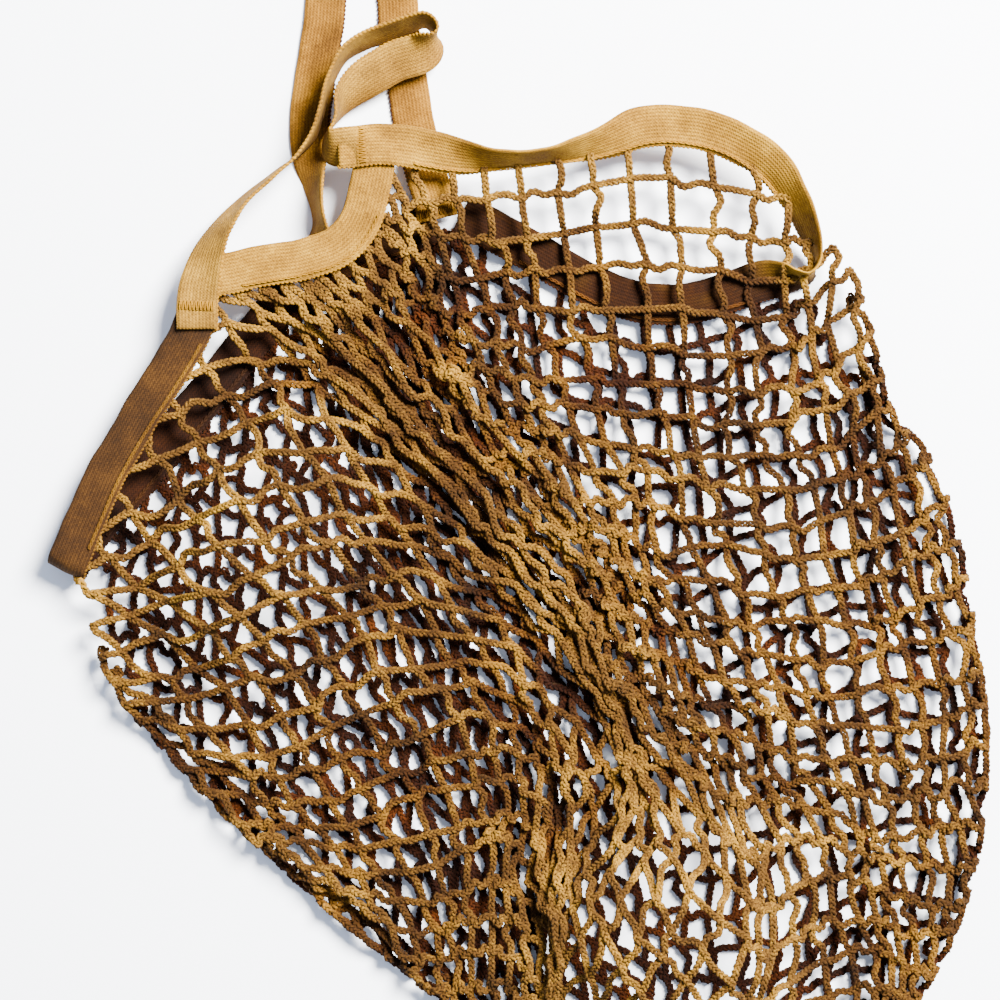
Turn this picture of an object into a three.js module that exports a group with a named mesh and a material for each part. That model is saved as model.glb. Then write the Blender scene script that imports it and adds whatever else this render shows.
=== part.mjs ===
// A knitted cotton mesh produce bag, lying flat on a table with both of its mouths a little open.
// Millimetres, +Z up. The origin is on the table, under the middle of the back panel.
// The bag is two net panels, woven tapes that bind two mouths and the gathered stretch between them,
// and two tape handles. Each handle is one tape that hinges where it lifts off the bag.

import * as THREE from 'three';

// ---------------------------------------------------------------- driving dimensions
const TAPE_WIDTH = 14;
const TAPE_THICKNESS = 1.2;
const NET_THICKNESS = 2.4;
const GAP = 0.3;                    // clearance between pieces that touch
const MOUTH_HEIGHT = 6.4;           // clear height of a mouth, from back tape to front net
const NET_TUCK = 4.5;               // how far the net's rim goes under a tape
const EDGE_RISE = 16;               // distance over which the front panel rises from its joined edge
const MANGO_BULGE = 20;             // extra height that stored produce leaves in the front panel
const ORANGE_BULGE = 26;
const SEAM_WIDTH = 1.4;             // chain-stitch seam that holds the net to a tape
const SEAM_THICKNESS = 0.8;
const SEAM_INSET = 1.2;             // from the tape's edge to the middle of the seam
const TACK_LENGTH = 11;             // bar tack, across the tape
const TACK_WIDTH = 3;
const TACK_THICKNESS = 0.8;
const FRONT_HINGE_Y = 130;          // where the front handle lifts off
const FRONT_LOOP_LENGTH = 30;       // from there to the loop's far side
const BACK_HANDLE_LEAD = 12;        // from the front loop to where the back handle lifts off
const BACK_LOOP_LENGTH = 28;
const GATHER_END_EDGE_X = -49;      // left edge of the front gather tape where it goes under the right band
const HINGE_CUT = 0.8;              // slot between a handle's root and its loop

// ---------------------------------------------------------------- places worked out from them
const BACK_HINGE_Y = FRONT_HINGE_Y + FRONT_LOOP_LENGTH + BACK_HANDLE_LEAD;
const frontLoopY = (share) => FRONT_HINGE_Y + share * FRONT_LOOP_LENGTH;
const backLoopY = (share) => BACK_HINGE_Y + share * BACK_LOOP_LENGTH;
const HALF_TAPE = TAPE_THICKNESS / 2;
const HALF_NET = NET_THICKNESS / 2;
const BACK_TAPE_Z = NET_THICKNESS + GAP + HALF_TAPE;
const FRONT_NET_Z = BACK_TAPE_Z + HALF_TAPE + MOUTH_HEIGHT + HALF_NET;
const FRONT_TAPE_Z = FRONT_NET_Z + HALF_NET + GAP + HALF_TAPE;
const LAYER_STEP = TAPE_THICKNESS + GAP;            // one tape lying on another
const UPPER_TAPE_Z = FRONT_TAPE_Z + LAYER_STEP;
const FOLD_RADIUS = (FRONT_TAPE_Z - BACK_TAPE_Z) / 2;
const FOLD_Z = BACK_TAPE_Z + FOLD_RADIUS;
const TABLE_TAPE_Z = HALF_TAPE + 0.4;               // a tape lying on the table
const BACK_ROOT_Z = BACK_TAPE_Z + LAYER_STEP;
const EDGE_Z = TABLE_TAPE_Z + HALF_TAPE + 1 + TAPE_WIDTH / 2;   // a tape standing on its edge

// ---------------------------------------------------------------- materials
const tapeMaterial = () =>
  new THREE.MeshStandardMaterial({ color: 0xb08648, roughness: 0.9, metalness: 0 });
const netMaterial = () =>
  new THREE.MeshStandardMaterial({ color: 0xbd9152, roughness: 0.95, metalness: 0 });
const threadMaterial = () =>
  new THREE.MeshStandardMaterial({ color: 0xc8a468, roughness: 0.85, metalness: 0 });

// ---------------------------------------------------------------- tape paths
// A path is a list of stations: the middle of the tape, and the direction across it.
// Across points to the mouth side, so the net is on the other side. Places along a path are given
// as station numbers: 0 is its first station, and 2.5 is halfway between its third and fourth.
const station = (x, y, z, ax, ay, az) => ({
  at: new THREE.Vector3(x, y, z),
  across: new THREE.Vector3(ax, ay, az).normalize(),
});

class TapePath {
  constructor(stations) {
    this.middle = new THREE.CatmullRomCurve3(stations.map((s) => s.at), false, 'catmullrom', 0.5);
    this.side = new THREE.CatmullRomCurve3(stations.map((s) => s.across), false, 'catmullrom', 0.5);
    this.spans = stations.length - 1;
  }

  pointAt(place) {
    return this.middle.getPoint(Math.min(1, Math.max(0, place / this.spans)));
  }

  // The middle, the direction across and the normal at a place.
  frame(place) {
    const at = this.pointAt(place);
    const step = 0.03;
    const along = this.pointAt(place + step).sub(this.pointAt(place - step)).normalize();
    const across = this.side.getPoint(place / this.spans);
    across.addScaledVector(along, -across.dot(along)).normalize();
    const normal = new THREE.Vector3().crossVectors(along, across);
    return { at, across, normal };
  }

  // A point off the middle, by distances across the tape and along its normal.
  offset(place, acrossBy, normalBy = 0) {
    const { at, across, normal } = this.frame(place);
    return at.addScaledVector(across, acrossBy).addScaledVector(normal, normalBy);
  }
}

const PATHS = {
  leftBand: new TapePath([
    station(-101.5, 61, FRONT_TAPE_Z, -1, 0.2, 0),
    station(-106, 51, FRONT_TAPE_Z, -0.88, 0.47, 0),
    station(-114, 38, FRONT_TAPE_Z, -0.85, 0.53, 0),
    station(-123, 24, FRONT_TAPE_Z, -0.86, 0.5, 0),
    station(-132, 8, FRONT_TAPE_Z, -0.88, 0.47, 0),
    station(-139, -8, FRONT_TAPE_Z, -0.9, 0.43, 0),
    station(-144, -19, FRONT_TAPE_Z, -0.9, 0.43, 0),
    station(-144 - 0.31 * FOLD_RADIUS, -19 - 0.65 * FOLD_RADIUS, FOLD_Z + 0.7 * FOLD_RADIUS, -0.9, 0.43, 0),
    station(-144 - 0.43 * FOLD_RADIUS, -19 - 0.9 * FOLD_RADIUS, FOLD_Z, -0.9, 0.43, 0),
    station(-144 - 0.31 * FOLD_RADIUS, -19 - 0.65 * FOLD_RADIUS, FOLD_Z - 0.7 * FOLD_RADIUS, -0.9, 0.43, 0),
    station(-144, -19, BACK_TAPE_Z, -0.89, 0.45, 0),
    station(-137, -9, BACK_TAPE_Z, -0.84, 0.54, 0),
    station(-122, 9, BACK_TAPE_Z, -0.77, 0.64, 0),
    station(-104, 30, BACK_TAPE_Z, -0.77, 0.64, 0),
    station(-87, 51, BACK_TAPE_Z, -0.77, 0.64, 0),
    station(-71, 70, BACK_TAPE_Z, -0.77, 0.64, 0),
  ]),
  rightBand: new TapePath([
    station(-50, 118, UPPER_TAPE_Z, 0, 1, 0),
    station(-35, 118.5, UPPER_TAPE_Z, 0, 1, 0),
    station(-17, 116, FRONT_TAPE_Z + 0.6, 0.1, 1, 0),
    station(0, 114, FRONT_TAPE_Z, 0, 1, 0),
    station(16, 115, FRONT_TAPE_Z, -0.2, 1, 0),
    station(32, 120, FRONT_TAPE_Z, -0.3, 1, 0),
    station(48, 124.5, FRONT_TAPE_Z, -0.1, 1, 0),
    station(64, 124, FRONT_TAPE_Z, 0.2, 1, 0),
    station(79, 119, FRONT_TAPE_Z, 0.45, 0.9, 0),
    station(91, 110, FRONT_TAPE_Z, 0.7, 0.7, 0),
    station(98, 99, FRONT_TAPE_Z, 0.8, 0.6, 0),
    station(102.5, 91.5, FRONT_TAPE_Z, 0.6, 0.8, 0),
    station(102.5 + 0.67 * FOLD_RADIUS, 89.5, FOLD_Z + 0.7 * FOLD_RADIUS, 0.3, 0.95, 0),
    station(102.5 + 0.95 * FOLD_RADIUS, 88.5, FOLD_Z, 0.25, 0.97, 0),
    station(102.5 + 0.67 * FOLD_RADIUS, 88, FOLD_Z - 0.7 * FOLD_RADIUS, 0.1, 1, 0),
    station(101, 86.5, BACK_TAPE_Z, -0.2, 0.98, 0),
    station(91, 80, BACK_TAPE_Z, -0.5, 0.86, 0),
    station(76, 71, BACK_TAPE_Z, -0.35, 0.94, 0),
    station(58, 66, BACK_TAPE_Z, 0, 1, 0),
    station(40, 69, BACK_TAPE_Z, 0.35, 0.94, 0),
    station(20, 79, BACK_TAPE_Z, 0.5, 0.86, 0),
    station(2, 89, BACK_TAPE_Z, 0.5, 0.86, 0),
    station(-13, 97, BACK_TAPE_Z, 0.5, 0.86, 0),
  ]),
  frontGather: new TapePath([
    station(-94.5, 75, FRONT_TAPE_Z, 0, 1, 0),
    station(-80, 78, FRONT_TAPE_Z, -0.15, 1, 0),
    station(-66, 80.5, FRONT_TAPE_Z, -0.2, 1, 0),
    station(-54, 85, FRONT_TAPE_Z, -0.6, 0.8, 0),
    station(-46.5, 94, FRONT_TAPE_Z, -0.94, 0.34, 0),
    station(GATHER_END_EDGE_X - 1.5 + TAPE_WIDTH / 2, 104, FRONT_TAPE_Z, -1, 0.15, 0),
    station(GATHER_END_EDGE_X + TAPE_WIDTH / 2, 113, FRONT_TAPE_Z, -1, 0.1, 0),
  ]),
  backGather: new TapePath([
    station(-62, 79, BACK_TAPE_Z, -0.4, 0.92, 0),
    station(-48, 84, BACK_TAPE_Z, -0.3, 0.95, 0),
    station(-34, 89, BACK_TAPE_Z, -0.35, 0.94, 0),
    station(-22.5, 94, BACK_TAPE_Z, -0.4, 0.92, 0),
  ]),
  frontHandle: new TapePath([
    station(-101, 57, UPPER_TAPE_Z, 1, 0, 0),
    station(-101, 67, UPPER_TAPE_Z, 1, 0, 0),
    station(-99, 79, UPPER_TAPE_Z, 1, -0.25, 0.1),
    station(-94, 90, EDGE_Z + 4, 0.7, -0.4, 0.6),
    station(-86, 100, EDGE_Z + 1, 0.3, -0.3, 0.9),
    station(-77, 108.5, EDGE_Z, 0.15, -0.2, 1),
    station(-69, 115, EDGE_Z, 0.1, -0.1, 1),
    station(-63.5, 122, EDGE_Z, 0, 0, 1),
    station(-60.2, FRONT_HINGE_Y, EDGE_Z, 0, 0.05, 1),
    station(-57, frontLoopY(0.37), EDGE_Z, 0, 0.15, 1),
    station(-52, frontLoopY(0.67), EDGE_Z, 0, 0.2, 1),
    station(-43, frontLoopY(0.9), EDGE_Z, 0, 0.2, 1),
    station(-33, frontLoopY(1), EDGE_Z, 0, 0.2, 1),
    station(-25, frontLoopY(0.98), EDGE_Z, 0, 0.2, 1),
    station(-21.5, frontLoopY(0.8), EDGE_Z, 0, 0.2, 1),
    station(-25.5, frontLoopY(0.62), EDGE_Z, 0, 0.2, 1),
    station(-35, frontLoopY(0.52), EDGE_Z, 0, 0.2, 1),
    station(-44, frontLoopY(0.38), EDGE_Z, 0, 0.15, 1),
    station(-51, frontLoopY(0.18), EDGE_Z, 0, 0.1, 1),
    station(-55, frontLoopY(-0.05), EDGE_Z, 0.05, 0.05, 1),
    station(-58, 122.5, EDGE_Z + 1, 0.25, 0.15, 1),
    station(-56.5, 117.8, EDGE_Z + 4, 0.2, 0.8, 0.7),
    station(-50.6, 117.8, UPPER_TAPE_Z, 0, 1, 0),
  ]),
  backHandle: new TapePath([
    station(-60, 80, BACK_ROOT_Z, 1, 0, 0),
    station(-61, 94, BACK_ROOT_Z, 1, 0, 0),
    station(-63, 108, TABLE_TAPE_Z, 1, 0.1, 0),
    station(-64.5, 122, TABLE_TAPE_Z, 1, 0, 0),
    station(-63.5, BACK_HINGE_Y - 34, TABLE_TAPE_Z, 1, -0.1, 0),
    station(-61, BACK_HINGE_Y - 17, TABLE_TAPE_Z, 1, -0.1, 0),
    station(-59, BACK_HINGE_Y, TABLE_TAPE_Z, 1, 0, 0),
    station(-58.5, backLoopY(0.43), TABLE_TAPE_Z + 1.6, 1, 0, 0.25),
    station(-55, backLoopY(0.82), TABLE_TAPE_Z + 3.2, 0.8, -0.2, 0.5),
    station(-47, backLoopY(1), TABLE_TAPE_Z + 4, 0, -0.85, 0.55),
    station(-39, backLoopY(0.82), TABLE_TAPE_Z + 3.2, -0.8, -0.2, 0.5),
    station(-35.5, backLoopY(0.43), TABLE_TAPE_Z + 1.6, -1, 0, 0.25),
    station(-35, BACK_HINGE_Y, TABLE_TAPE_Z, -1, 0, 0),
    station(-33.5, BACK_HINGE_Y - 17, TABLE_TAPE_Z, -1, -0.1, 0),
    station(-31, BACK_HINGE_Y - 34, TABLE_TAPE_Z, -1, -0.15, 0),
    station(-28, 122, TABLE_TAPE_Z, -1, -0.2, 0),
    station(-24, 108, BACK_ROOT_Z, -1, -0.3, 0),
    station(-21, 95, BACK_ROOT_Z, -1, -0.2, 0),
  ]),
};

// ---------------------------------------------------------------- solids
// A flat strip that follows a path from one place to another, off its middle by the given distances.
function strip(path, from, to, { width, thickness, acrossBy = 0, normalBy = 0, stepsPerSpan = 3 }) {
  const steps = Math.max(2, Math.round((to - from) * stepsPerSpan));
  const geometry = new THREE.BoxGeometry(1, 1, 1, steps, 1, 1);
  const position = geometry.getAttribute('position');
  for (let i = 0; i < position.count; i += 1) {
    const place = from + (position.getX(i) + 0.5) * (to - from);
    const sideways = acrossBy + position.getY(i) * width;
    const upward = normalBy + position.getZ(i) * thickness;
    const point = path.offset(place, sideways, upward);
    position.setXYZ(i, point.x, point.y, point.z);
  }
  geometry.computeVertexNormals();
  return geometry;
}

const tape = (path, from = 0, to = path.spans) =>
  strip(path, from, to, { width: TAPE_WIDTH, thickness: TAPE_THICKNESS });

// A seam lies on one face of a tape, along its net side. face is 1 or -1, along the tape's normal.
const seam = (path, from, to, face) =>
  strip(path, from, to, {
    width: SEAM_WIDTH,
    thickness: SEAM_THICKNESS,
    acrossBy: -(TAPE_WIDTH / 2 - SEAM_INSET),
    normalBy: face * (HALF_TAPE + GAP + SEAM_THICKNESS / 2),
    stepsPerSpan: 2,
  });

// A bar tack lies on top of a tape, square across it.
function tack(path, place) {
  const { at, across } = path.frame(place);
  const mesh = new THREE.Mesh(new THREE.BoxGeometry(TACK_LENGTH, TACK_WIDTH, TACK_THICKNESS));
  mesh.position.copy(at);
  mesh.position.z += HALF_TAPE + GAP + TACK_THICKNESS / 2;
  mesh.rotation.z = Math.atan2(across.y, across.x);
  return mesh;
}

// The place at which a path crosses the line y = level, searched between two places.
function crossing(path, level, from, to) {
  let low = from;
  let high = to;
  const rising = path.pointAt(to).y > path.pointAt(from).y;
  for (let i = 0; i < 40; i += 1) {
    const middle = (low + high) / 2;
    const above = path.pointAt(middle).y > level;
    if (above === rising) {
      high = middle;
    } else {
      low = middle;
    }
  }
  return (low + high) / 2;
}

// ---------------------------------------------------------------- net panels
// The joined edge of the two panels, from the left fold round the bottom to the right fold.
const edge = (points) =>
  new THREE.CatmullRomCurve3(points.map(([x, y]) => new THREE.Vector3(x, y, 0)), false, 'centripetal');

const LEFT_CORNER = [-138, -31];
const BOTTOM_LEFT_CORNER = [-52, -140];
const BOTTOM_RIGHT_CORNER = [140, -166];
const RIGHT_CORNER = [109, 70];

const leftEdge = edge([LEFT_CORNER, [-128, -62], [-107, -88], [-78, -117], BOTTOM_LEFT_CORNER]);
const bottomEdge = edge([
  BOTTOM_LEFT_CORNER, [-30, -158], [-2, -180], [34, -198], [70, -203], [107, -193], BOTTOM_RIGHT_CORNER,
]);
const rightEdge = edge([
  RIGHT_CORNER, [122, 56], [129, 30], [144, 2], [156, -38], [163, -80], [158, -125], BOTTOM_RIGHT_CORNER,
]);

// The rim of a panel lies under its three tapes: left band, gather tape, right band.
function rim(parts, firstCorner, lastCorner) {
  const points = [];
  for (const { path, from, to, count } of parts) {
    for (let i = 0; i < count; i += 1) {
      const place = from + (i / (count - 1)) * (to - from);
      points.push(path.offset(place, NET_TUCK - TAPE_WIDTH / 2).setZ(0));
    }
  }
  const first = new THREE.Vector3(...firstCorner, 0);
  const last = new THREE.Vector3(...lastCorner, 0);
  return new THREE.CatmullRomCurve3([first, ...points, last], false, 'centripetal');
}

const frontRim = rim(
  [
    { path: PATHS.leftBand, from: 5.2, to: 0.3, count: 6 },
    { path: PATHS.frontGather, from: 0.3, to: 5.4, count: 6 },
    { path: PATHS.rightBand, from: 2, to: 9.5, count: 8 },
  ],
  LEFT_CORNER,
  RIGHT_CORNER,
);
const backRim = rim(
  [
    { path: PATHS.leftBand, from: 11, to: 14.6, count: 5 },
    { path: PATHS.backGather, from: 0.6, to: 2.4, count: 3 },
    { path: PATHS.rightBand, from: 21.5, to: 16, count: 6 },
  ],
  LEFT_CORNER,
  RIGHT_CORNER,
);

const smooth = (x) => {
  const s = Math.min(1, Math.max(0, x));
  return s * s * (3 - 2 * s);
};

// A rounded swelling over an ellipse, 1 in its middle and 0 from its rim outwards.
function swelling(x, y, { cx, cy, long, short, turn }) {
  const dx = x - cx;
  const dy = y - cy;
  const a = (dx * Math.cos(turn) + dy * Math.sin(turn)) / long;
  const b = (dy * Math.cos(turn) - dx * Math.sin(turn)) / short;
  return smooth(1.25 * (1 - Math.hypot(a, b)));
}

const MANGO_PLACE = { cx: -76, cy: -8, long: 60, short: 38, turn: 0.9 };
const ORANGE_PLACE = { cx: 60, cy: -146, long: 58, short: 54, turn: 0 };

const edgeSamples = [leftEdge, bottomEdge, rightEdge].flatMap((curve) => curve.getSpacedPoints(80));

// The middle height of the front panel. Near the two folds it passes over the back tape.
function frontHeight(x, y, v) {
  const distance = Math.min(...edgeSamples.map((p) => Math.hypot(p.x - x, p.y - y)));
  const overBackPanel = NET_THICKNESS + GAP + HALF_NET;
  const overBackTape = BACK_TAPE_Z + HALF_TAPE + GAP + HALF_NET;
  const low = overBackPanel + (overBackTape - overBackPanel) * smooth((v - 0.6) / 0.25);
  const bulge = MANGO_BULGE * swelling(x, y, MANGO_PLACE) + ORANGE_BULGE * swelling(x, y, ORANGE_PLACE);
  const high = FRONT_NET_Z + bulge;
  return low + (high - low) * smooth(distance / EDGE_RISE);
}

// A Coons patch over the four edges: u from left to right, v from the bottom edge to the rim.
function panel(rimCurve, heightAt, divisions) {
  const geometry = new THREE.BoxGeometry(1, 1, NET_THICKNESS, divisions, divisions, 1);
  const position = geometry.getAttribute('position');
  const corner = {
    topLeft: new THREE.Vector3(...LEFT_CORNER, 0),
    topRight: new THREE.Vector3(...RIGHT_CORNER, 0),
    bottomLeft: new THREE.Vector3(...BOTTOM_LEFT_CORNER, 0),
    bottomRight: new THREE.Vector3(...BOTTOM_RIGHT_CORNER, 0),
  };
  for (let i = 0; i < position.count; i += 1) {
    const u = position.getX(i) + 0.5;
    const v = position.getY(i) + 0.5;
    const point = bottomEdge.getPointAt(u).multiplyScalar(1 - v);
    point.addScaledVector(rimCurve.getPointAt(u), v);
    point.addScaledVector(leftEdge.getPointAt(1 - v), 1 - u);
    point.addScaledVector(rightEdge.getPointAt(1 - v), u);
    point.addScaledVector(corner.bottomLeft, -(1 - u) * (1 - v));
    point.addScaledVector(corner.bottomRight, -u * (1 - v));
    point.addScaledVector(corner.topLeft, -(1 - u) * v);
    point.addScaledVector(corner.topRight, -u * v);
    position.setXYZ(i, point.x, point.y, heightAt(point.x, point.y, v) + position.getZ(i));
  }
  geometry.computeVertexNormals();
  return geometry;
}

// ---------------------------------------------------------------- the assembly
const bag = new THREE.Group();

function add(name, geometry, material) {
  const mesh = new THREE.Mesh(geometry, material);
  mesh.name = name;
  bag.add(mesh);
}

function addTack(name, path, t) {
  const mesh = tack(path, t);
  mesh.material = threadMaterial();
  mesh.name = name;
  bag.add(mesh);
}

const PANEL_DIVISIONS = 22;
add('net_back_panel', panel(backRim, () => HALF_NET, PANEL_DIVISIONS), netMaterial());
add('net_front_panel', panel(frontRim, frontHeight, PANEL_DIVISIONS), netMaterial());

add('left_mouth_band', tape(PATHS.leftBand), tapeMaterial());
add('right_mouth_band', tape(PATHS.rightBand), tapeMaterial());
add('front_gather_tape', tape(PATHS.frontGather), tapeMaterial());
add('back_gather_tape', tape(PATHS.backGather), tapeMaterial());

// The handles are cut where they lift: each root stays with the bag, each loop is a moving body.
const cut = HINGE_CUT / 2;
const frontLeftCut = (level) => crossing(PATHS.frontHandle, level, 6, 10);
const frontRightCut = (level) => crossing(PATHS.frontHandle, level, 17, 20.5);
const backLeftCut = (level) => crossing(PATHS.backHandle, level, 4, 8);
const backRightCut = (level) => crossing(PATHS.backHandle, level, 10, 14);

add('front_handle_left_root', tape(PATHS.frontHandle, 0, frontLeftCut(FRONT_HINGE_Y - cut)), tapeMaterial());
add(
  'front_handle_loop',
  tape(PATHS.frontHandle, frontLeftCut(FRONT_HINGE_Y + cut), frontRightCut(FRONT_HINGE_Y + cut)),
  tapeMaterial(),
);
add(
  'front_handle_right_root',
  tape(PATHS.frontHandle, frontRightCut(FRONT_HINGE_Y - cut)),
  tapeMaterial(),
);
add('back_handle_left_root', tape(PATHS.backHandle, 0, backLeftCut(BACK_HINGE_Y - cut)), tapeMaterial());
add(
  'back_handle_loop',
  tape(PATHS.backHandle, backLeftCut(BACK_HINGE_Y + cut), backRightCut(BACK_HINGE_Y + cut)),
  tapeMaterial(),
);
add('back_handle_right_root', tape(PATHS.backHandle, backRightCut(BACK_HINGE_Y - cut)), tapeMaterial());

addTack('front_left_bar_tack', PATHS.frontHandle, 0.8);
addTack('front_right_bar_tack', PATHS.rightBand, 0.4);
addTack('back_left_bar_tack', PATHS.backHandle, 0.3);
addTack('back_right_bar_tack', PATHS.backHandle, 16.8);

add('left_band_front_seam', seam(PATHS.leftBand, 0.7, 5.5, -1), threadMaterial());
add('left_band_back_seam', seam(PATHS.leftBand, 11, 14, 1), threadMaterial());
add('right_band_front_seam', seam(PATHS.rightBand, 1.4, 10, 1), threadMaterial());
add('right_band_back_seam', seam(PATHS.rightBand, 16.5, 20.6, -1), threadMaterial());
add('front_gather_seam', seam(PATHS.frontGather, 0.6, 4.3, 1), threadMaterial());
add('back_gather_seam', seam(PATHS.backGather, 0.9, 2.1, 1), threadMaterial());

export default bag;
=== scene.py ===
import math

import bmesh
import bpy
import numpy as np
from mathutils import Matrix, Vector


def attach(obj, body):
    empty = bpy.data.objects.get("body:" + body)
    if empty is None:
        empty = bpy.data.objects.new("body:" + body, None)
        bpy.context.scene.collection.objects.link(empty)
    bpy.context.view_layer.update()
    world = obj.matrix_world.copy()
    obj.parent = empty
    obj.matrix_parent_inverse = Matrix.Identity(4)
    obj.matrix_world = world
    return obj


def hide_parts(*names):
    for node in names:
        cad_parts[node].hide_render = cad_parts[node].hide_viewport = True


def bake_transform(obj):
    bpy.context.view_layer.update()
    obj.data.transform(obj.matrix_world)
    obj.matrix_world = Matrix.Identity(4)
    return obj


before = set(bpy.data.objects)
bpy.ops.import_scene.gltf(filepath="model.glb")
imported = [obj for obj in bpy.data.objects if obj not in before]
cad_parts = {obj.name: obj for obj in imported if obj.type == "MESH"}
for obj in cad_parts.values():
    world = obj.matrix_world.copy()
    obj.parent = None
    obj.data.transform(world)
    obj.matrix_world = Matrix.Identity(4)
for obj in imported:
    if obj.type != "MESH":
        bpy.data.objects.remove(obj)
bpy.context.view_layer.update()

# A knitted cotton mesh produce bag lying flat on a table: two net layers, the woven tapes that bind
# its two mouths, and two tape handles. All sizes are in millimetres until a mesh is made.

MM = 0.001

# ---------------------------------------------------------------- driving dimensions
TAPE_WIDTH = 14.0
TAPE_THICKNESS = 1.2
SELVEDGE_BEAD = 1.5           # length of one bead of the tape's looped edge
STRAND_RADIUS = 0.6           # one of the three yarns of a net cord
STRAND_HALF_WIDTH = 0.86      # how far a yarn swings to each side of the cord's middle
STRAND_HALF_HEIGHT = 0.45     # and above and below it
BRAID_LENGTH = 5.2            # the cord shows a V for every third of this
YARN_STEP = 0.68              # between two rings of a yarn
YARN_STRAY = 0.8              # how far noise moves a net yarn off its regular path
KINKS_PER_METRE = 420.0       # scale of that noise, a kink every 2 to 3 mm
CELL = 12.0                   # side of a square cell, from knot to knot
SHORTEST_CORD = 10.5          # where the net is drawn together, a cord this long buckles
TABLE = 0.0
CAMERA_HEIGHT = 800.0
VIEW_WIDTH = 340.0            # width of table that the camera takes in
SENSOR = 36.0

FRONT_NET_Z = 11.5
FRONT_TAPE_Z = 13.6
UPPER_TAPE_Z = FRONT_TAPE_Z + 1.5
BACK_TAPE_Z = 3.3
BACK_ROOT_Z = BACK_TAPE_Z + 1.5
TABLE_TAPE_Z = 1.0
EDGE_Z = 9.6
FOLD_RADIUS = (FRONT_TAPE_Z - BACK_TAPE_Z) / 2
FOLD_Z = BACK_TAPE_Z + FOLD_RADIUS

# The line where each handle bends up, and half the length of tape that bends there.
FRONT_HINGE = (-57.0, 130.0, 16.8)
FRONT_BEND = 5.0
BACK_HINGE = (-47.0, 172.0, 1.8)
BACK_BEND = 6.0

LAMP_PLACE = (0.75, 0.7, 1.1)   # metres from the middle of the table
LAMP_WIDTH = 0.7
LAMP_POWER = 290
FLOOR_WIDTH = 6


# ---------------------------------------------------------------- curves
def smooth(x):
    """0 below 0, 1 above 1 and an S between."""
    s = np.clip(x, 0, 1)
    return s * s * (3 - 2 * s)


def catmull_rom(points, places):
    """Points on the smooth curve through points, at station numbers places."""
    points = np.asarray(points, float)
    places = np.asarray(places, float)
    padded = np.vstack([2 * points[0] - points[1], points, 2 * points[-1] - points[-2]])
    k = np.clip(np.floor(places).astype(int), 0, len(points) - 2)
    f = (places - k)[:, None]
    p0, p1, p2, p3 = padded[k], padded[k + 1], padded[k + 2], padded[k + 3]
    linear = (p2 - p0) * f
    square = (2 * p0 - 5 * p1 + 4 * p2 - p3) * f**2
    cube = (3 * p1 - p0 - 3 * p2 + p3) * f**3
    return 0.5 * (2 * p1 + linear + square + cube)


def unit(v):
    return v / np.maximum(np.linalg.norm(v, axis=-1, keepdims=True), 1e-9)


class TapePath:
    """The middle line of a tape and the direction across it, by station number."""

    NUDGE = 0.03              # of a station, to each side, for the direction along the tape
    FINE = 60                 # places for each station when lengths are added up

    def __init__(self, stations):
        table = np.array(stations, float)
        self.middle = table[:, :3]
        self.side = unit(table[:, 3:])
        self.spans = len(stations) - 1

    def frame(self, places):
        places = np.asarray(places, float)
        at = catmull_rom(self.middle, places)
        ahead = catmull_rom(self.middle, np.minimum(places + self.NUDGE, self.spans))
        behind = catmull_rom(self.middle, np.maximum(places - self.NUDGE, 0))
        along = unit(ahead - behind)
        across = catmull_rom(self.side, places)
        across = unit(across - along * np.sum(across * along, axis=1, keepdims=True))
        return at, along, across, np.cross(along, across)

    def even_places(self, spacing):
        """Station numbers about spacing apart along the middle line, and their distances."""
        fine = np.linspace(0, self.spans, self.FINE * self.spans)
        at = catmull_rom(self.middle, fine)
        run = np.concatenate([[0], np.cumsum(np.linalg.norm(np.diff(at, axis=0), axis=1))])
        count = max(3, int(run[-1] / spacing))
        distance = np.linspace(0, run[-1], count)
        return np.interp(distance, run, fine), distance


def fold(x, y, dx, dy, across):
    """Three stations round the left band's fold, from its front run down to its back run."""
    out = FOLD_RADIUS
    return [
        (x + 0.7 * dx * out, y + 0.7 * dy * out, FOLD_Z + 0.7 * out, *across),
        (x + dx * out, y + dy * out, FOLD_Z, *across),
        (x + 0.7 * dx * out, y + 0.7 * dy * out, FOLD_Z - 0.7 * out, *across),
    ]


# Stations: x, y, z of the middle, then the direction across. On the bands and the gathers that
# direction points to the mouth side.
LEFT_BAND = TapePath([
    (-101.5, 61, FRONT_TAPE_Z, -1, 0.2, 0),
    (-106, 51, FRONT_TAPE_Z, -0.88, 0.47, -0.1),
    (-114, 38, FRONT_TAPE_Z, -0.85, 0.53, -0.15),
    (-123, 24, FRONT_TAPE_Z, -0.86, 0.5, -0.2),
    (-132, 8, FRONT_TAPE_Z, -0.88, 0.47, -0.15),
    (-139, -8, FRONT_TAPE_Z, -0.9, 0.43, -0.1),
    (-144, -19, FRONT_TAPE_Z, -0.9, 0.43, 0),
    *fold(-144, -19, -0.43, -0.9, (-0.9, 0.43, 0)),
    (-144, -19, BACK_TAPE_Z, -0.89, 0.45, 0),
    (-137, -9, BACK_TAPE_Z, -0.84, 0.54, 0),
    (-122, 9, BACK_TAPE_Z, -0.77, 0.64, 0),
    (-104, 30, BACK_TAPE_Z, -0.77, 0.64, 0),
    (-87, 51, BACK_TAPE_Z, -0.77, 0.64, 0),
    (-71, 70, BACK_TAPE_Z, -0.77, 0.64, 0),
])
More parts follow.
